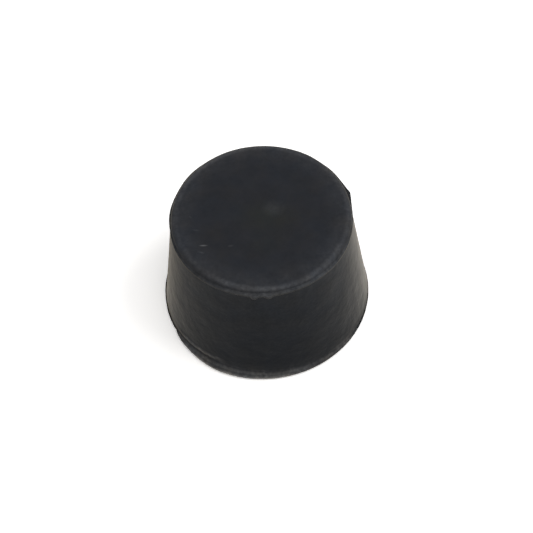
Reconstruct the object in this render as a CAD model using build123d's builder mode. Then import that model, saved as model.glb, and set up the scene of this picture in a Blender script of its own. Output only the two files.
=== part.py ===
from build123d import *
import os
from math import atan2, cos, radians, sin

# A rubber stopper: one solid tapered plug, moulded in one piece and standing on its large end.
# Both rims still carry the flash of the mould, trimmed by hand with a knife.
# Origin at the centre of the large end, +Z up the axis, sizes in millimetres.

# Plug: the wall's taper runs from the large end's diameter to the small end's
height = 25.4
large_end_diameter = 40.5
small_end_diameter = 32.8
edge_round = 1.15

# Flash round the large end, as moulded: it slopes down from the wall to a feather edge that stands
# above the end face, and its underside falls back to the foot, the flat face that the stopper stands on
foot_inset = 0.65
large_flash_width = 1.0
large_flash_root = 1.6
large_flash_lift = 0.9

# Flash round the small end, as moulded: it slopes down from the rounded edge to a feather edge
small_flash_width = 1.2
small_flash_root = 0.8

# The knife's path round each flash, anticlockwise: azimuth in degrees from +X, and the share of the
# flash's width that is left standing there. A straight cut joins the last point to the first.
# At the large end that cut is the side of a nick, and at the small end the tip of a spur.
large_trim_shares = (
    (-155.5, -0.06), (-151, 0.27), (-145, 0.45), (-137, 0.52), (-125, 0.70), (-109, 0.68), (-94, 0.55),
    (-75, 0.52), (-50, 0.47), (-25, 0.39), (0, 0.31), (30, 0.35), (60, 0.42), (90, 0.50),
    (120, 0.42), (150, 0.37), (170, 0.30), (184, 0.14), (197, 0.08), (202.5, 0.02),
)
small_trim_shares = (
    (15.2, 0.60), (18, 0.41), (22, 0.27), (28, 0.21), (36, 0.23), (43, 0.14), (54, 0.28), (70, 0.31),
    (88, 0.39), (101, 0.43), (114, 0.38), (125, 0.28), (134, 0.36), (142, 0.32), (151, 0.18),
    (161, 0.17), (172, 0.24), (183, 0.13), (198, 0.20), (215, 0.24), (240, 0.20), (268, 0.24),
    (295, 0.21), (320, 0.24), (343, 0.14), (360, 0.07), (367, 0.20), (371, 0.41), (374.4, 0.59),
)

# Torn tag that hangs below the small end's flash at the front, as two lobes
tag_azimuths = (-97.6, -88.8)
tag_lobe_width = 1.6
tag_reach = 0.5
tag_droop = 0.45

# Shallow mould mark in the small end's face, off its centre
mark_diameter = 2.6
mark_depth = 0.1
mark_right = 2.4
mark_back = 0.9

# How far every cut runs past the material
overrun = 0.05

# The small end's flash leaves the wall where the rounded edge ends
large_radius = large_end_diameter / 2
small_radius = small_end_diameter / 2
taper = atan2(large_radius - small_radius, height)
small_flash_top = height - edge_round * (1 - sin(taper))
small_flash_bottom = small_flash_top - small_flash_root
mark_ball_radius = ((mark_diameter / 2) ** 2 + mark_depth**2) / (2 * mark_depth)


def wall_radius(level):
    """Radius of the tapered wall at a level above the large end."""
    return large_radius + (small_radius - large_radius) * level / height


def knife_path(root_radius, flash_width, trim_shares):
    """Points of the knife's path round a flash."""
    path = []
    for azimuth, share in trim_shares:
        radius = root_radius + flash_width * share
        path.append((radius * cos(radians(azimuth)), radius * sin(radians(azimuth))))
    return path


small_root_radius = wall_radius(small_flash_bottom)

with BuildPart() as rubber_stopper:
    # Tapered plug with the large end's flash as moulded, and the small end's edge rounded
    with BuildSketch(Plane.XZ):
        with BuildLine():
            Polyline(
                (0, 0),
                (large_radius - foot_inset, 0),
                (large_radius + large_flash_width, large_flash_lift),
                (wall_radius(large_flash_root), large_flash_root),
                (small_radius, height),
                (0, height),
                close=True,
            )
        make_face()
    revolve(axis=Axis.Z)
    fillet(rubber_stopper.faces().sort_by(Axis.Z)[-1].edges(), radius=edge_round)

    # Small end's flash as moulded, rooted inside the wall
    with BuildSketch(Plane.XZ):
        with BuildLine():
            Polyline(
                (wall_radius(small_flash_top) - small_flash_width, small_flash_bottom),
                (small_root_radius + small_flash_width, small_flash_bottom),
                (wall_radius(small_flash_top), small_flash_top),
                close=True,
            )
        make_face()
    revolve(axis=Axis.Z)

    # Flash trimmed from the large end, with the nick where the knife started
    with BuildSketch(Plane.XY.offset(-overrun)):
        Circle(large_radius + large_flash_width + overrun)
        with BuildLine():
            large_knife = Spline(knife_path(large_radius, large_flash_width, large_trim_shares))
            Line(large_knife @ 1, large_knife @ 0)
        make_face(mode=Mode.SUBTRACT)
    extrude(amount=overrun + large_flash_root + overrun, mode=Mode.SUBTRACT)

    # Flash trimmed from the small end, with the spur left standing
    with BuildSketch(Plane.XY.offset(small_flash_bottom - overrun)):
        Circle(small_root_radius + small_flash_width + overrun)
        with BuildLine():
            small_knife = Spline(knife_path(small_root_radius, small_flash_width, small_trim_shares))
            Line(small_knife @ 1, small_knife @ 0)
        make_face(mode=Mode.SUBTRACT)
    extrude(amount=overrun + small_flash_root + overrun, mode=Mode.SUBTRACT)

    # Torn tag: two lobes that hang from the middle of the trimmed flash
    with BuildSketch(Plane.XY.offset(small_flash_bottom - tag_droop)):
        for azimuth in tag_azimuths:
            with PolarLocations(small_root_radius, 1, start_angle=azimuth):
                Ellipse(tag_reach, tag_lobe_width / 2)
    extrude(amount=tag_droop + small_flash_root / 2)

    # Mould mark: a shallow dish in the small end's face
    with Locations((mark_right, mark_back, height - mark_depth + mark_ball_radius)):
        Sphere(mark_ball_radius, mode=Mode.SUBTRACT)

rubber_stopper.part.label = "rubber_stopper"
os.makedirs("parts", exist_ok=True)
export_step(rubber_stopper.part, "parts/rubber_stopper.step")
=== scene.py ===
import math

import bpy
import numpy as np
from mathutils import Matrix, Vector
from mathutils.bvhtree import BVHTree


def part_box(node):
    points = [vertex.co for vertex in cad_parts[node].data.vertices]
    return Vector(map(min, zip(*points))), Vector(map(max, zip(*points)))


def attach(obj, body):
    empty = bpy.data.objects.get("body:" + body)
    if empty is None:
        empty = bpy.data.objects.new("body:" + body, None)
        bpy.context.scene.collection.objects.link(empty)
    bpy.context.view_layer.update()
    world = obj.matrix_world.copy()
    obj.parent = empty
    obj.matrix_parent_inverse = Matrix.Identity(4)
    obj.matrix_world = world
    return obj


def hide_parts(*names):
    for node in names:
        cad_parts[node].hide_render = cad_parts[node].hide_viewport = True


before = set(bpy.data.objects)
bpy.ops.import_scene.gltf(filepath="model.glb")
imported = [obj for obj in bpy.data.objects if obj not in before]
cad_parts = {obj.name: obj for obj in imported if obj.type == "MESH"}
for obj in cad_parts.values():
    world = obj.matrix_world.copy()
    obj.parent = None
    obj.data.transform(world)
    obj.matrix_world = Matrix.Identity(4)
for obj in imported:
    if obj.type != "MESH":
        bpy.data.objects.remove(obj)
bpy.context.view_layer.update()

# Sizes in metres, in the part's frame: origin at the centre of the large end, +Z up the axis
MM = 0.001
NODE = "rubber_stopper"
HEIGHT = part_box(NODE)[1].z
LARGE_RADIUS = 20.25 * MM
SMALL_RADIUS = 16.4 * MM
EDGE_ROUND = 1.15 * MM
TAPER = math.atan2(LARGE_RADIUS - SMALL_RADIUS, HEIGHT)

# Moulding flash of the large end: its lower face rises from the foot to a feather edge above the floor,
# and the knife's cut takes up a share of the height that is left. The wall flares below the given level.
LARGE_FLASH_WIDTH = 1.0 * MM
LARGE_FLASH_LIFT = 0.9 * MM
FOOT_INSET = 0.65 * MM
CUT_SHARE = 0.4
FLARE_TOP = 8.0 * MM

# That flash round the rim: (azimuth in degrees, level of its root, how high its edge stands as a share
# of the moulded height, flare of the wall above it, how far from its edges it is pale with wear and painted
# highlight)
LARGE_FLASH_ROUND = [
    (-180, 0.80 * MM, 1.00, 0.05 * MM, 0.25 * MM),
    (-170, 1.10 * MM, 1.10, 0, 0.38 * MM),
    (-158, 1.20 * MM, 1.20, 0, 0.40 * MM),
    (-150, 1.55 * MM, 1.35, 0, 0.50 * MM),
    (-142, 1.80 * MM, 1.20, 0, 0.50 * MM),
    (-134, 2.00 * MM, 0.55, 0, 0.50 * MM),
    (-118, 2.30 * MM, 0.42, 0, 0.50 * MM),
    (-90, 1.95 * MM, 0.54, 0, 0.50 * MM),
    (-72, 1.65 * MM, 0.85, 0.05 * MM, 0.50 * MM),
    (-50, 1.30 * MM, 1.00, 0.15 * MM, 0.45 * MM),
    (-28, 0.75 * MM, 1.00, 0.28 * MM, 0.25 * MM),
    (5, 0.62 * MM, 1.00, 0.28 * MM, 0.25 * MM),
    (60, 0.95 * MM, 1.00, 0.15 * MM, 0.25 * MM),
    (120, 0.95 * MM, 1.00, 0.15 * MM, 0.25 * MM),
]

# Ridge that a second pass of the knife left above that flash, and the groove under it
RIDGE_HEIGHT = 0.12 * MM
RIDGE_RISE = 0.75 * MM
GROOVE_DEPTH = 0.05 * MM

# Moulding flash of the small end, and the torn tag that hangs from it as two lobes: (azimuth, depth)
SMALL_FLASH_WIDTH = 1.2 * MM
SMALL_FLASH_ROOT = 0.8 * MM
SMALL_FLASH_TOP = HEIGHT - EDGE_ROUND * (1 - math.sin(TAPER))
SMALL_FLASH_BOTTOM = SMALL_FLASH_TOP - SMALL_FLASH_ROOT
TAG_LOBES = [
    (math.radians(-97.6), 0.55 * MM),
    (math.radians(-88.8), 0.42 * MM),
]
TAG_LOBE_SPREAD = math.radians(2.4)

# Levels at which the flashes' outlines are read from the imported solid: a share of the large one's lift, and
# of the small one's root
LARGE_READ_SHARE = 0.999
SMALL_READ_SHARE = 0.05

# Shallow mould mark on the small end, and how near to that face a ring counts as part of it
MARK_RADIUS = 1.3 * MM
MARK_DEPTH = 0.1 * MM
MARK_PLACE = (2.4 * MM, 0.9 * MM)
FACE_TOLERANCE = 0.01 * MM

# Unevenness of the trimmed rims and of the moulded wall: its depth, and its (seed, waves round the rim).
# The wall's fades in at these heights above the large end and out at these depths below the small one,
# and it turns about the axis by so many radians to the metre up the wall.
CUT_WOBBLE = 0.05 * MM
ROOT_WOBBLE = 0.35 * MM
WALL_WOBBLE = 0.03 * MM
LARGE_CUT_WAVES = (1, (23, 37, 58, 71))
LARGE_ROOT_WAVES = (4, (29, 46, 67, 98, 131))
SMALL_CUT_WAVES = (2, (19, 31, 47, 64))
WALL_WAVES = (3, (7, 11, 18))
WALL_FADE_IN = (2.2 * MM, 5.0 * MM)
WALL_FADE_OUT = (5.0 * MM, 8.0 * MM)
WALL_TURN = 60

# Easing of the section's corners: how far from each its rounding starts, and the largest share of the
# shorter run beside it that the rounding takes
FOOT_EASE = 0.15 * MM
LARGE_CUT_EASE = 0.12 * MM
LARGE_ROOT_EASE = 0.25 * MM
RIDGE_EASE = 0.12 * MM
RIDGE_END_EASE = 0.15 * MM
SMALL_UNDER_EASE = 0.08 * MM
SMALL_LIP_EASE = 0.06 * MM
SMALL_CUT_EASE = 0.08 * MM
SMALL_ROOT_EASE = 0.05 * MM
CORNER_SHARE = 0.45
ROUND_SHARE = 0.95

# Points round each ring of the mesh
AROUND = 640

# Stretches of the large end's rim, in degrees: (first and last azimuth, fade at the first and at the last).
# In turn, they have the ridge, the flash's pale slope, its pale cut and its palest lower edge; that paleness
# is wear with painted highlight.
RIDGE_STRETCH = (-156, -112, 9, 18)
BAND_STRETCH = (-157, -28, 9, 15)
CUT_BAND_STRETCH = (-157, -48, 9, 15)
LIP_STRETCH = (-152, -72, 15, 15)

# Wear and painted highlights of the small end: (azimuth in degrees, how pale its flash is, how dull, how pale
# its rounded edge is, how far round that edge the middle of the painted highlight lies, in degrees, and how
# far it reaches)
SMALL_END_WEAR_AND_HIGHLIGHT = [
    (-170, 0.24, 0.80, 0.20, 20, 0.80 * MM),
    (-150, 0.30, 0.80, 0.18, 15, 0.80 * MM),
    (-130, 0.30, 0.70, 0.20, 25, 0.70 * MM),
    (-110, 0.40, 0.50, 0.40, 33, 0.55 * MM),
    (-90, 0.46, 0.50, 0.43, 44, 0.50 * MM),
    (-70, 0.42, 0.50, 0.38, 48, 0.55 * MM),
    (-50, 0.40, 0.60, 0.28, 40, 0.80 * MM),
    (-25, 0.42, 0.50, 0.22, 25, 0.80 * MM),
    (-5, 0.35, 0.30, 0.23, 25, 0.80 * MM),
    (12, 0.05, 0.80, 0.25, 25, 0.75 * MM),
    (35, 0.00, 1.00, 0.24, 10, 0.70 * MM),
    (55, 0.00, 1.00, 0.28, 10, 0.70 * MM),
    (80, 0.25, 0.60, 0.36, 15, 0.70 * MM),
    (110, 0.35, 0.50, 0.42, 18, 0.70 * MM),
    (150, 0.30, 0.60, 0.34, 18, 0.75 * MM),
]

# How far the wear and painted highlight reach from each edge, and how pale they are there as a share of its
# table or stretch
SMALL_CUT_REACH, SMALL_CUT_PALE = 0.35 * MM, 0.85
SMALL_SLOPE_REACH, SMALL_SLOPE_PALE = 0.35 * MM, 0.80
SMALL_ROOT_REACH, SMALL_ROOT_PALE = 0.30 * MM, 0.50
SMALL_LIP_REACH, SMALL_LIP_PALE = 0.40 * MM, 0.40
LARGE_CUT_PALE = 0.52
LARGE_SLOPE_PALE = 0.50
LARGE_LIP_REACH, LARGE_LIP_PALE, LARGE_LIP_PALEST = 0.75 * MM, 0.40, 1.70
LARGE_ROOT_REACH, LARGE_ROOT_PALE = 0.40 * MM, 0.20
RIGHT_ROOT_REACH, RIGHT_ROOT_PALE = 0.65 * MM, 0.42
RIDGE_REACH, RIDGE_PALE = 0.50 * MM, 0.75
WALL_REACH, WALL_PALE = 1.6 * MM, 0.08

# Paleness of the large end's flash all round, wear with painted highlight, and of the small end's face beside
# its rounded edge, a painted reflection
LARGE_PALE = 0.05
END_REACH, END_PALE = 2.6 * MM, 0.09

# Roughness of the moulded wall, how much duller it is higher up, on the left and on the small end, and
# that of rubbed edges, which the small end's rounded edge reaches in part
WALL_ROUGHNESS = 0.305
UPPER_DULLING = 0.06
LEFT_DULLING = 0.12
LEFT_FROM = math.radians(100)
LEFT_TO = math.radians(150)
END_DULLING = 0.06
EDGE_ROUGHNESS = 0.95
ROUND_MATT = 0.5

# Stretch of the large end's flash, either side of +X, that keeps the wall's gloss
GLOSS_FROM = math.radians(30)
GLOSS_TO = math.radians(56)

# Pale scuffs and brown stains on the small end: (x, y, length, width, angle in degrees, strength)
SCUFFS = [
    (-10.65 * MM, -6.25 * MM, 1.9 * MM, 0.45 * MM, -4, 0.80),
    (-11.10 * MM, -7.70 * MM, 1.5 * MM, 0.45 * MM, -20, 0.25),
    (-11.90 * MM, -2.75 * MM, 1.8 * MM, 0.45 * MM, -15, 0.14),
    (-12.85 * MM, 0.30 * MM, 1.0 * MM, 0.50 * MM, -40, 0.14),
    (-5.80 * MM, -6.75 * MM, 1.2 * MM, 0.50 * MM, 8, 0.28),
    (2.40 * MM, 0.90 * MM, 5.0 * MM, 4.4 * MM, 0, 0.14),
    (11.70 * MM, -10.40 * MM, 8.0 * MM, 3.0 * MM, 42, 0.08),
]
STAINS = [
    (1.0 * MM, -0.8 * MM, 14.0 * MM, 9.0 * MM, -10, 0.8),
    (0.5 * MM, -7.0 * MM, 9.0 * MM, 6.0 * MM, 20, 0.4),
]

# Rubber's colours: low on the wall, where it is darker as painted shade, and high on it; bloomed on the small
# end, partly painted light; stained; scuffed; pale at either end with wear and painted highlight; and the
# faint tints that cloud it
SHADED_FOOT_COLOUR = (0.0034, 0.0048, 0.0072, 1)
HIGH_WALL_COLOUR = (0.0122, 0.0138, 0.0166, 1)
BLOOM_AND_LIGHT_COLOUR = (0.0214, 0.0228, 0.0270, 1)
STAINED_COLOUR = (0.0208, 0.0229, 0.0212, 1)
SCUFFED_COLOUR = (0.1000, 0.1025, 0.1090, 1)
LARGE_WEAR_AND_HIGHLIGHT_COLOUR = (0.2110, 0.2055, 0.1990, 1)
SMALL_WEAR_AND_HIGHLIGHT_COLOUR = (0.2020, 0.2055, 0.2150, 1)
COOL_TINT = (0.95, 0.995, 1.05, 1)
WARM_TINT = (1.06, 1.01, 0.95, 1)

# How far the bloom, partly painted light, covers the small end
BLOOM_AND_LIGHT = 0.8

# Noises of the surface, in features to the metre, and the values that most of a noise lies between;
# streaks are drawn out up the wall
STREAK_SCALE = 620
STREAK_DRAW = (1, 1, 0.07)
CLOUD_SCALE = 220
MOTTLE_SCALE = 420
SPECKLE_SCALE = 1500
NOISE_LOW, NOISE_HIGH = 0.3, 0.7

# How far each noise makes a layer of the rubber uneven: (least, most)
WALL_SHADE_STREAK = (0.8, 1.2)
WALL_SHADE_SPECKLE = (0.75, 1.25)
BLOOM_AND_LIGHT_MOTTLE = (0.75, 1.25)
STAIN_MOTTLE = (0.6, 1.2)
SCUFF_SPECKLE = (0.6, 1.4)
WEAR_AND_HIGHLIGHT_MOTTLE = (0.34, 0.63)
WEAR_AND_HIGHLIGHT_SPECKLE = (0.65, 1.35)
TINT_CLOUD = (0.0, 1.0)
ROUGH_SPECKLE = (-0.025, 0.025)
ROUGH_STREAK = (0.0, 0.04)

# Fine unevenness of the moulded skin: what the noises add to its height, and its strength on wall and end
SKIN_CLOUD = 4.0
SKIN_MOTTLE = 2.0
SKIN_DEPTH = 0.06 * MM
WALL_SKIN = 0.6
END_SKIN = 0.2

# Photograph's camera: where it stands, what the middle of the picture shows, and its lean
PICTURE_WIDTH = 533
FOCAL_PIXELS = 1012.5
CAMERA_PLACE = Vector((0, -110.45, 172.70)) * MM
CAMERA_AIM = Vector((0.346, 0, 7.911)) * MM
CAMERA_ROLL = math.radians(-4.05)
CAMERA_CLIP = 1 * MM

# Light: a softbox at the upper right, which throws the shadow, a broad weak one in front, and an even sky
KEY_DIRECTION = Vector((0.68, -0.05, 0.73))
KEY_HALF_ANGLE = math.radians(20)
KEY_RADIANCE = 2.98
FRONT_DIRECTION = Vector((0.12, -0.74, 0.66))
FRONT_HALF_ANGLE = math.radians(30)
FRONT_RADIANCE = 0.5
LAMP_DISTANCE = 3.0
SKY_STRENGTH = 0.66

# Floor: half its width, its colour for the light that it throws back, and the colour that is seen
FLOOR_HALF = 3.0
FLOOR_COLOUR = (0.95, 0.935, 0.91, 1)
FLOOR_SEEN_COLOUR = (1.52, 1.505, 1.485, 1)


def wall_radius(level):
    """Radius of the tapered wall at a level above the large end."""
    return LARGE_RADIUS + (SMALL_RADIUS - LARGE_RADIUS) * level / HEIGHT


def ease(value, low, high):
    """Smooth step from 0 at the low value to 1 at the high one."""
    share = np.clip((value - low) / (high - low), 0, 1)
    return share * share * (3 - 2 * share)


def wobble(azimuths, seed, waves):
    """Uneven line round the rim between 0 and 1, made of waves with seeded phases."""
    random = np.random.default_rng(seed)
    line = 0 * azimuths
    for count in waves:
        line = line + np.sin(count * azimuths + random.uniform(0, 2 * math.pi)) / len(waves)
    return 0.5 + 0.5 * line


def stretch(azimuths, limits):
    """Line round the rim that is 1 along a stretch and fades to 0 at its ends."""
    first, last, fade_in, fade_out = np.radians(limits)
    return ease(azimuths, first, first + fade_in) * ease(-azimuths, -last, fade_out - last)


def round_table(table, azimuths):
    """Columns of a table of places round the rim, read between its places at each azimuth."""
    places, *columns = np.transpose(table)
    return [np.interp(azimuths, np.radians(places), column, period=2 * math.pi) for column in columns]


def rim_radius(tree, level, azimuths):
    """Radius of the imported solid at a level, for each azimuth."""
    reach = 2 * LARGE_RADIUS
    radii = []
    for azimuth in azimuths:
        out = Vector((math.cos(azimuth), math.sin(azimuth), 0))
        hit = tree.ray_cast(out * reach + Vector((0, 0, level)), -out)
        radii.append(math.hypot(hit[0].x, hit[0].y))
    return np.array(radii)


def arc_corner(before, corner, after, tangent, limit_share, steps):
    """Rows of the circular arc that rounds a corner, starting and ending a tangent length from it."""
    back = before - corner
    on = after - corner
    back_length = np.linalg.norm(back, axis=1, keepdims=True)
    on_length = np.linalg.norm(on, axis=1, keepdims=True)
    length = np.minimum(tangent, limit_share * np.minimum(back_length, on_length))
    start = corner + back / back_length * length
    end = corner + on / on_length * length
    cosine = np.sum(back * on, axis=1, keepdims=True) / (back_length * on_length)
    weight = np.sqrt((1 - cosine) / 2)
    rows = []
    for u in np.linspace(0, 1, steps + 1):
        a, b, c = (1 - u) ** 2, 2 * u * (1 - u) * weight, u * u
        rows.append((a * start + b * corner + c * end) / (a + b + c))
    return rows


def section_rings(corners):
    """Rings of (radius, level) for every azimuth, from the corners of the section: each has its place,
    tangent length, limit share, arc steps and the steps of the straight run that leads to it."""
    places = [c[0] for c in corners]
    rings = [places[0]]
    for i in range(1, len(corners)):
        place, tangent, limit_share, arc_steps, run_steps = corners[i]
        if i < len(corners) - 1:
            arc = arc_corner(places[i - 1], place, places[i + 1], tangent, limit_share, arc_steps)
        else:
            arc = [place]
        start = rings[-1]
        for u in np.linspace(0, 1, run_steps + 1)[1:-1]:
            u = 0.5 - 0.5 * math.cos(math.pi * u)
            rings.append(start + (arc[0] - start) * u)
        rings.extend(arc)
    return rings


def lathe(name, rings, azimuths, paint):
    """Mesh of rings round the axis, whose first and last rings are single points on it; paint holds
    the values that each named attribute has on every ring."""
    count = len(azimuths)
    cosine, sine = np.cos(azimuths), np.sin(azimuths)
    rows = [(0, 0, rings[0][0, 1])]
    for ring in rings[1:-1]:
        rows.extend(zip(ring[:, 0] * cosine, ring[:, 0] * sine, ring[:, 1]))
    rows.append((0, 0, rings[-1][0, 1]))
    faces = []
    last = len(rows) - 1
    for k in range(count):
        following = (k + 1) % count
        faces.append((0, 1 + following, 1 + k))
        for row in range(len(rings) - 3):
            low, high = 1 + row * count, 1 + (row + 1) * count
            faces.append((low + k, low + following, high + following, high + k))
        top = 1 + (len(rings) - 3) * count
        faces.append((top + k, top + following, last))
    mesh = bpy.data.meshes.new(name)
    mesh.from_pydata(rows, [], faces)
    mesh.shade_smooth()
    for attribute, values in paint.items():
        values = [values[0][:1]] + values[1:-1] + [values[-1][:1]]
        layer = mesh.attributes.new(attribute, "FLOAT", "POINT")
        layer.data.foreach_set("value", np.concatenate(values).astype(np.float32))
    piece = bpy.data.objects.new(name, mesh)
    bpy.context.scene.collection.objects.link(piece)
    return piece


def make_stopper():
    """The stopper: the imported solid's own form, with eased edges and uneven trimming."""
    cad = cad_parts[NODE].data
    tree = BVHTree.FromPolygons([v.co for v in cad.vertices], [p.vertices for p in cad.polygons])
    azimuths = np.linspace(-math.pi, math.pi, AROUND, endpoint=False)
    cosine, sine = np.cos(azimuths), np.sin(azimuths)

    def at(radius, level):
        return np.stack([radius + 0 * azimuths, level + 0 * azimuths], 1)

    # Large end: the knife's path, the flash that it left, and the ridge and groove above that
    large_rim = rim_radius(tree, LARGE_READ_SHARE * LARGE_FLASH_LIFT, azimuths)
    large_rim = large_rim - CUT_WOBBLE * wobble(azimuths, *LARGE_CUT_WAVES)
    large_root, lift, flare, large_reach = round_table(LARGE_FLASH_ROUND, azimuths)
    large_root = large_root + ROOT_WOBBLE * (wobble(azimuths, *LARGE_ROOT_WAVES) - 0.5)
    foot = LARGE_RADIUS - FOOT_INSET
    undercut = lift * LARGE_FLASH_LIFT * (large_rim - foot) / (LARGE_FLASH_WIDTH + FOOT_INSET)
    large_cut = undercut + CUT_SHARE * (large_root - undercut)

    def wall(level):
        return wall_radius(level) + flare * ease(-level, -FLARE_TOP, 0)

    ridged = stretch(azimuths, RIDGE_STRETCH)
    ridge_level = large_root + RIDGE_RISE
    ridge_end = ridge_level + RIDGE_RISE
    wall_foot = (wall(large_root), large_root)
    crest = (wall(ridge_level) + RIDGE_HEIGHT * ridged, ridge_level)

    # Small end: the knife's path and the torn tag
    small_rim = rim_radius(tree, SMALL_FLASH_BOTTOM + SMALL_READ_SHARE * SMALL_FLASH_ROOT, azimuths)
    small_rim = small_rim - CUT_WOBBLE * wobble(azimuths, *SMALL_CUT_WAVES)
    droop = 0 * azimuths
    for azimuth, depth in TAG_LOBES:
        droop = np.maximum(droop, depth * np.exp(-((azimuths - azimuth) / TAG_LOBE_SPREAD) ** 2))
    small_bottom = SMALL_FLASH_BOTTOM - droop
    small_tip = wall_radius(SMALL_FLASH_BOTTOM) + SMALL_FLASH_WIDTH
    small_root = wall_radius(SMALL_FLASH_TOP)
    small_cut = SMALL_FLASH_BOTTOM + SMALL_FLASH_ROOT * (small_tip - small_rim) / (small_tip - small_root)

    # Corners of the section, from the middle of the large end, up the wall, to the middle of the small end
    round_tangent = EDGE_ROUND * math.tan((math.pi / 2 - TAPER) / 2)
    corners = [
        (at(0, 0), 0, 0, 0, 0),
        (at(foot, 0), FOOT_EASE, CORNER_SHARE, 3, 6),
        (at(large_rim, undercut), LARGE_CUT_EASE, CORNER_SHARE, 4, 4),
        (at(large_rim, large_cut), LARGE_CUT_EASE, CORNER_SHARE, 4, 2),
        (at(wall(large_root) - GROOVE_DEPTH * ridged, large_root), LARGE_ROOT_EASE, CORNER_SHARE, 4, 6),
        (at(*crest), RIDGE_EASE, CORNER_SHARE, 4, 2),
        (at(wall(ridge_end), ridge_end), RIDGE_END_EASE, CORNER_SHARE, 2, 2),
        (at(wall_radius(small_bottom), small_bottom), SMALL_UNDER_EASE, CORNER_SHARE, 2, 40),
        (at(small_rim, small_bottom), SMALL_LIP_EASE, CORNER_SHARE, 2, 3),
        (at(small_rim, small_cut), SMALL_CUT_EASE, CORNER_SHARE, 4, 3),
        (at(small_root, SMALL_FLASH_TOP), SMALL_ROOT_EASE, CORNER_SHARE, 3, 4),
        (at(SMALL_RADIUS, HEIGHT), round_tangent, ROUND_SHARE, 16, 2),
        (at(0, HEIGHT), 0, 0, 0, 34),
    ]
    rings = section_rings(corners)

    # Edges that are pale with wear and painted highlights, and the small end's face with a painted
    # reflection:
    # where each lies, how far the paleness reaches, and how pale and how dull it is
    banded = stretch(azimuths, BAND_STRETCH)
    cut_banded = stretch(azimuths, CUT_BAND_STRETCH)
    lip_pale = LARGE_LIP_PALE * cut_banded + LARGE_LIP_PALEST * stretch(azimuths, LIP_STRETCH)
    large_matt = 1 - ease(cosine, math.cos(GLOSS_TO), math.cos(GLOSS_FROM))
    large_slope = ((large_rim + wall(large_root)) / 2, (large_cut + large_root) / 2)
    small_slope = ((small_rim + small_root) / 2, (small_cut + SMALL_FLASH_TOP) / 2)
    # Wear and painted highlight on the small end's flash and rounded edge
    flash_wear_and_highlight, flash_matt, round_wear_and_highlight, round_angle, round_reach = round_table(SMALL_END_WEAR_AND_HIGHLIGHT, azimuths)
    round_angle = np.radians(round_angle)
    round_centre = SMALL_RADIUS - round_tangent
    pale_radius = round_centre + EDGE_ROUND * np.sin(round_angle)
    pale_level = HEIGHT - EDGE_ROUND + EDGE_ROUND * np.cos(round_angle)
    edges = [
        ((pale_radius, pale_level), round_reach, round_wear_and_highlight, ROUND_MATT),
        ((small_rim, small_cut), SMALL_CUT_REACH, SMALL_CUT_PALE * flash_wear_and_highlight, flash_matt),
        (small_slope, SMALL_SLOPE_REACH, SMALL_SLOPE_PALE * flash_wear_and_highlight, flash_matt),
        ((small_root, SMALL_FLASH_TOP), SMALL_ROOT_REACH, SMALL_ROOT_PALE * flash_wear_and_highlight, flash_matt),
        ((small_rim, small_bottom), SMALL_LIP_REACH, SMALL_LIP_PALE * flash_wear_and_highlight, flash_matt),
        ((large_rim, large_cut), large_reach, LARGE_PALE + LARGE_CUT_PALE * cut_banded, large_matt),
        ((large_rim, undercut), LARGE_LIP_REACH, lip_pale, large_matt),
        (large_slope, large_reach, LARGE_PALE + LARGE_SLOPE_PALE * banded, large_matt),
        (wall_foot, LARGE_ROOT_REACH, LARGE_ROOT_PALE * banded, 0),
        (wall_foot, RIGHT_ROOT_REACH, RIGHT_ROOT_PALE * (banded - cut_banded), 0),
        (wall_foot, WALL_REACH, WALL_PALE * banded, 0),
        (crest, RIDGE_REACH, RIDGE_PALE * ridged, ridged),
        # Painted reflection: the small end's face is paler beside its rounded edge
        ((round_centre, HEIGHT), END_REACH, END_PALE, 0),
    ]
    left = ease(np.abs(azimuths), LEFT_FROM, LEFT_TO)
    wear_and_highlight, bloom_and_light, height_share, rough = [], [], [], []
    for ring in rings:
        radius, level = ring[:, 0], ring[:, 1]
        worn_and_highlit = 0 * azimuths
        dull = 0 * azimuths
        for (edge_radius, edge_level), reach, pale, matt in edges:
            near = np.exp(-((radius - edge_radius) ** 2 + (level - edge_level) ** 2) / reach**2)
            worn_and_highlit = np.maximum(worn_and_highlit, pale * near)
            dull = np.maximum(dull, matt * near)
        on_end = ease(level, HEIGHT - EDGE_ROUND, HEIGHT)
        up_wall = level / HEIGHT
        plain = WALL_ROUGHNESS + (UPPER_DULLING + LEFT_DULLING * left * (1 - on_end)) * up_wall
        plain = plain + END_DULLING * on_end
        wear_and_highlight.append(worn_and_highlit)
        # Bloom on the small end, partly painted light that falls on that face from above
        bloom_and_light.append(BLOOM_AND_LIGHT * on_end)
        # Share of the height, which also sets how far the painted shade darkens the wall towards the large
        # end
        height_share.append(up_wall)
        rough.append(plain + (EDGE_ROUGHNESS - plain) * dull)

    # Mould mark on the small end, and the wall's slight unevenness
    for ring in rings:
        across = np.hypot(ring[:, 0] * cosine - MARK_PLACE[0], ring[:, 0] * sine - MARK_PLACE[1])
        on_top = ring[:, 1] > HEIGHT - FACE_TOLERANCE
        ring[:, 1] -= on_top * MARK_DEPTH * np.clip(1 - (across / MARK_RADIUS) ** 2, 0, 1)
        on_wall = ease(ring[:, 1], *WALL_FADE_IN) * ease(HEIGHT - ring[:, 1], *WALL_FADE_OUT)
        ring[:, 0] -= WALL_WOBBLE * on_wall * wobble(azimuths + WALL_TURN * ring[:, 1], *WALL_WAVES)

    piece = lathe("stopper", rings, azimuths, {"wear_and_highlight": wear_and_highlight, "bloom_and_light": bloom_and_light, "height_share": height_share, "rough": rough})
    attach(piece, "root")
    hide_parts(NODE)
    return piece


def new_tree(material):
    """Empty node tree of a material, with its output."""
    material.use_nodes = True
    material.node_tree.nodes.clear()
    return material.node_tree, material.node_tree.nodes.new("ShaderNodeOutputMaterial")


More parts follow.
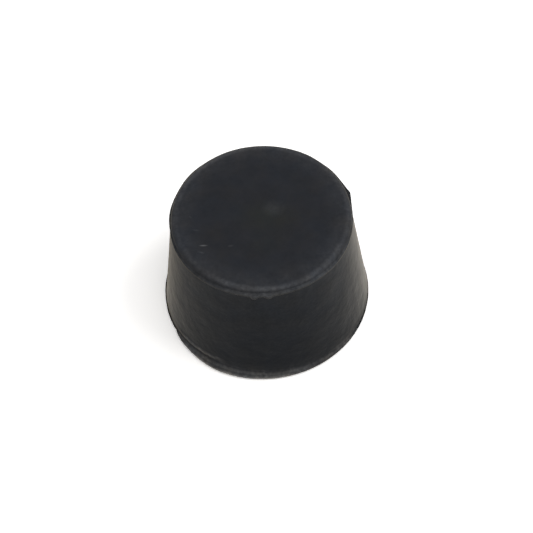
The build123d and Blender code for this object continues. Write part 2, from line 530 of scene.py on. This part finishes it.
def node(tree, kind, inputs, **settings):
    """New shader node with its settings; an input takes a value, or the output that feeds it."""
    made = tree.nodes.new("ShaderNode" + kind)
    for name, value in settings.items():
        setattr(made, name, value)
    for key, value in inputs.items():
        if isinstance(value, bpy.types.NodeSocket):
            tree.links.new(value, made.inputs[key])
        else:
            made.inputs[key].default_value = value
    return made


def mix_colour(tree, factor, first, second, blend="MIX"):
    """Colour that goes from the first to the second, or to their blend, as the factor goes from 0 to 1."""
    inputs = {0: factor, 6: first, 7: second}
    return node(tree, "Mix", inputs, data_type="RGBA", blend_type=blend).outputs[2]


def calculate(tree, operation, first, second):
    """Output of a calculation with two values."""
    return node(tree, "Math", {0: first, 1: second}, operation=operation).outputs["Value"]


def multiply(tree, first, second):
    """Output that is the product of two."""
    return calculate(tree, "MULTIPLY", first, second)


def add(tree, first, second):
    """Output that is the sum of two."""
    return calculate(tree, "ADD", first, second)


def noise(tree, place, scale, **inputs):
    """Output of a noise with so many features to the metre."""
    return node(tree, "TexNoise", {"Vector": place, "Scale": scale, **inputs}).outputs["Fac"]


def spread(tree, value, limits):
    """Noise output stretched to lie between two values."""
    low, high = limits
    inputs = {"Value": value, "From Min": NOISE_LOW, "From Max": NOISE_HIGH, "To Min": low, "To Max": high}
    return node(tree, "MapRange", inputs).outputs["Result"]


def spots(tree, place, table):
    """Output that rises to each spot's strength at its middle, and is 0 away from the spots."""
    total = 0.0
    for x, y, length, width, angle, strength in table:
        spot = node(tree, "Mapping", {
            "Vector": place,
            "Location": (x, y, HEIGHT),
            "Rotation": (0, 0, math.radians(angle)),
            "Scale": (length / 2, width / 2, EDGE_ROUND),
        }, vector_type="TEXTURE").outputs["Vector"]
        cone = node(tree, "TexGradient", {"Vector": spot}, gradient_type="SPHERICAL").outputs["Fac"]
        total = add(tree, total, multiply(tree, cone, strength))
    return total


def rubber_material():
    """Black rubber: dark blue-black, darker low on the wall as painted shade, bloomed grey on the small end,
    partly painted light, and pale on worn edges, partly painted highlight."""
    material = bpy.data.materials.new("rubber")
    tree, output = new_tree(material)
    place = node(tree, "TexCoord", {}).outputs["Object"]
    painted = {}
    for name in ("wear_and_highlight", "bloom_and_light", "height_share", "rough"):
        painted[name] = node(tree, "Attribute", {}, attribute_name=name).outputs["Fac"]
    drawn = node(tree, "Mapping", {"Vector": place, "Scale": STREAK_DRAW}).outputs["Vector"]
    streak = noise(tree, drawn, STREAK_SCALE, Detail=3)
    cloud = noise(tree, place, CLOUD_SCALE, Detail=3)
    mottle = noise(tree, place, MOTTLE_SCALE, Detail=4, Roughness=0.6)
    speckle = noise(tree, place, SPECKLE_SCALE, Detail=3)

    # Painted shade: the wall is darker towards the large end, where it reflects the shadowed floor
    unshaded_share = multiply(tree, painted["height_share"], spread(tree, streak, WALL_SHADE_STREAK))
    unshaded_share = multiply(tree, unshaded_share, spread(tree, speckle, WALL_SHADE_SPECKLE))
    # Bloom on the small end, lighter and bluer partly as painted light from above
    bloom_and_light_share = multiply(tree, painted["bloom_and_light"], spread(tree, mottle, BLOOM_AND_LIGHT_MOTTLE))
    stained = multiply(tree, spots(tree, place, STAINS), spread(tree, mottle, STAIN_MOTTLE))
    scuffed = multiply(tree, spots(tree, place, SCUFFS), spread(tree, speckle, SCUFF_SPECKLE))
    # Pale wear on the edges, partly painted highlight where light glints on the rounded and sloped edges
    worn_and_highlit = multiply(tree, painted["wear_and_highlight"], spread(tree, mottle, WEAR_AND_HIGHLIGHT_MOTTLE))
    worn_and_highlit = multiply(tree, worn_and_highlit, spread(tree, speckle, WEAR_AND_HIGHLIGHT_SPECKLE))
    colour = mix_colour(tree, unshaded_share, SHADED_FOOT_COLOUR, HIGH_WALL_COLOUR)
    colour = mix_colour(tree, bloom_and_light_share, colour, BLOOM_AND_LIGHT_COLOUR)
    colour = mix_colour(tree, stained, colour, STAINED_COLOUR)
    colour = mix_colour(tree, scuffed, colour, SCUFFED_COLOUR)
    # Colour of that wear and painted highlight, warmer at the large end
    wear_and_highlight_colour = mix_colour(tree, painted["height_share"], LARGE_WEAR_AND_HIGHLIGHT_COLOUR, SMALL_WEAR_AND_HIGHLIGHT_COLOUR)
    colour = mix_colour(tree, worn_and_highlit, colour, wear_and_highlight_colour)
    tint = mix_colour(tree, spread(tree, cloud, TINT_CLOUD), COOL_TINT, WARM_TINT)
    colour = mix_colour(tree, 1.0, colour, tint, "MULTIPLY")

    rough = add(tree, painted["rough"], spread(tree, speckle, ROUGH_SPECKLE))
    rough = add(tree, rough, spread(tree, streak, ROUGH_STREAK))
    skin = add(tree, multiply(tree, cloud, SKIN_CLOUD), multiply(tree, mottle, SKIN_MOTTLE))
    end_skin_range = {"Value": painted["bloom_and_light"], "From Max": BLOOM_AND_LIGHT, "To Min": WALL_SKIN, "To Max": END_SKIN}
    skin_strength = node(tree, "MapRange", end_skin_range).outputs["Result"]
    bump = node(tree, "Bump", {"Strength": skin_strength, "Distance": SKIN_DEPTH, "Height": skin})
    shader = node(tree, "BsdfPrincipled", {
        "Base Color": colour,
        "Roughness": rough,
        "IOR": 1.115,
        "Sheen Weight": 0.2,
        "Sheen Roughness": 0.3,
        "Sheen Tint": (1.0, 0.82, 0.52, 1),
        "Normal": bump.outputs["Normal"],
    })
    tree.links.new(shader.outputs["BSDF"], output.inputs["Surface"])
    return material


def seen_directly(tree):
    """Output that is 1 for camera, glossy and transmission rays, and 0 for the light that falls on things."""
    path = node(tree, "LightPath", {})
    seen = path.outputs["Is Camera Ray"]
    for kind in ("Is Glossy Ray", "Is Transmission Ray"):
        seen = calculate(tree, "MAXIMUM", seen, path.outputs[kind])
    return seen


def floor_material():
    """Plain pale floor that shows white and keeps the stopper's shadow."""
    material = bpy.data.materials.new("floor_white")
    tree, output = new_tree(material)
    colour = mix_colour(tree, seen_directly(tree), FLOOR_COLOUR, FLOOR_SEEN_COLOUR)
    diffuse = node(tree, "BsdfDiffuse", {"Color": colour})
    tree.links.new(diffuse.outputs["BSDF"], output.inputs["Surface"])
    return material


def make_floor():
    """Floor that the stopper stands on."""
    corners = [(x * FLOOR_HALF, y * FLOOR_HALF, 0) for x, y in ((-1, -1), (1, -1), (1, 1), (-1, 1))]
    mesh = bpy.data.meshes.new("floor")
    mesh.from_pydata(corners, [], [(0, 1, 2, 3)])
    floor = bpy.data.objects.new("floor", mesh)
    bpy.context.scene.collection.objects.link(floor)
    mesh.materials.append(floor_material())


def make_lamp(name, direction, half_angle, radiance):
    """Round softbox that faces the object, as wide as the angle it fills there."""
    lamp = bpy.data.lights.new(name, "AREA")
    lamp.shape = "DISK"
    lamp.size = 2 * LAMP_DISTANCE * math.tan(half_angle)
    lamp.energy = radiance * math.pi * math.pi * (lamp.size / 2) ** 2
    softbox = bpy.data.objects.new(name, lamp)
    bpy.context.scene.collection.objects.link(softbox)
    softbox.location = direction.normalized() * LAMP_DISTANCE
    softbox.rotation_mode = "QUATERNION"
    softbox.rotation_quaternion = direction.to_track_quat("Z", "Y")


def make_light():
    """Studio light: an even sky that shows white, and two softboxes."""
    world = bpy.data.worlds.new("studio")
    bpy.context.scene.world = world
    world.use_nodes = True
    tree = world.node_tree
    sky_range = {"Value": seen_directly(tree), "To Min": SKY_STRENGTH, "To Max": 1.0}
    strength = node(tree, "MapRange", sky_range)
    background = tree.nodes["Background"]
    background.inputs["Color"].default_value = (1, 1, 1, 1)
    tree.links.new(strength.outputs["Result"], background.inputs["Strength"])
    make_lamp("key_softbox", KEY_DIRECTION, KEY_HALF_ANGLE, KEY_RADIANCE)
    make_lamp("front_softbox", FRONT_DIRECTION, FRONT_HALF_ANGLE, FRONT_RADIANCE)


def make_camera():
    """Camera that stands where the photograph's did."""
    data = bpy.data.cameras.new("camera")
    data.lens = FOCAL_PIXELS / PICTURE_WIDTH * data.sensor_width
    data.clip_start = CAMERA_CLIP
    camera = bpy.data.objects.new("camera", data)
    bpy.context.scene.collection.objects.link(camera)
    camera.location = CAMERA_PLACE
    look = (CAMERA_AIM - CAMERA_PLACE).to_track_quat("-Z", "Y")
    camera.rotation_mode = "QUATERNION"
    camera.rotation_quaternion = look @ Matrix.Rotation(CAMERA_ROLL, 4, "Z").to_quaternion()
    bpy.context.scene.camera = camera


bpy.context.scene.view_settings.view_transform = "Standard"
stopper = make_stopper()
stopper.data.materials.append(rubber_material())
make_floor()
make_light()
make_camera()
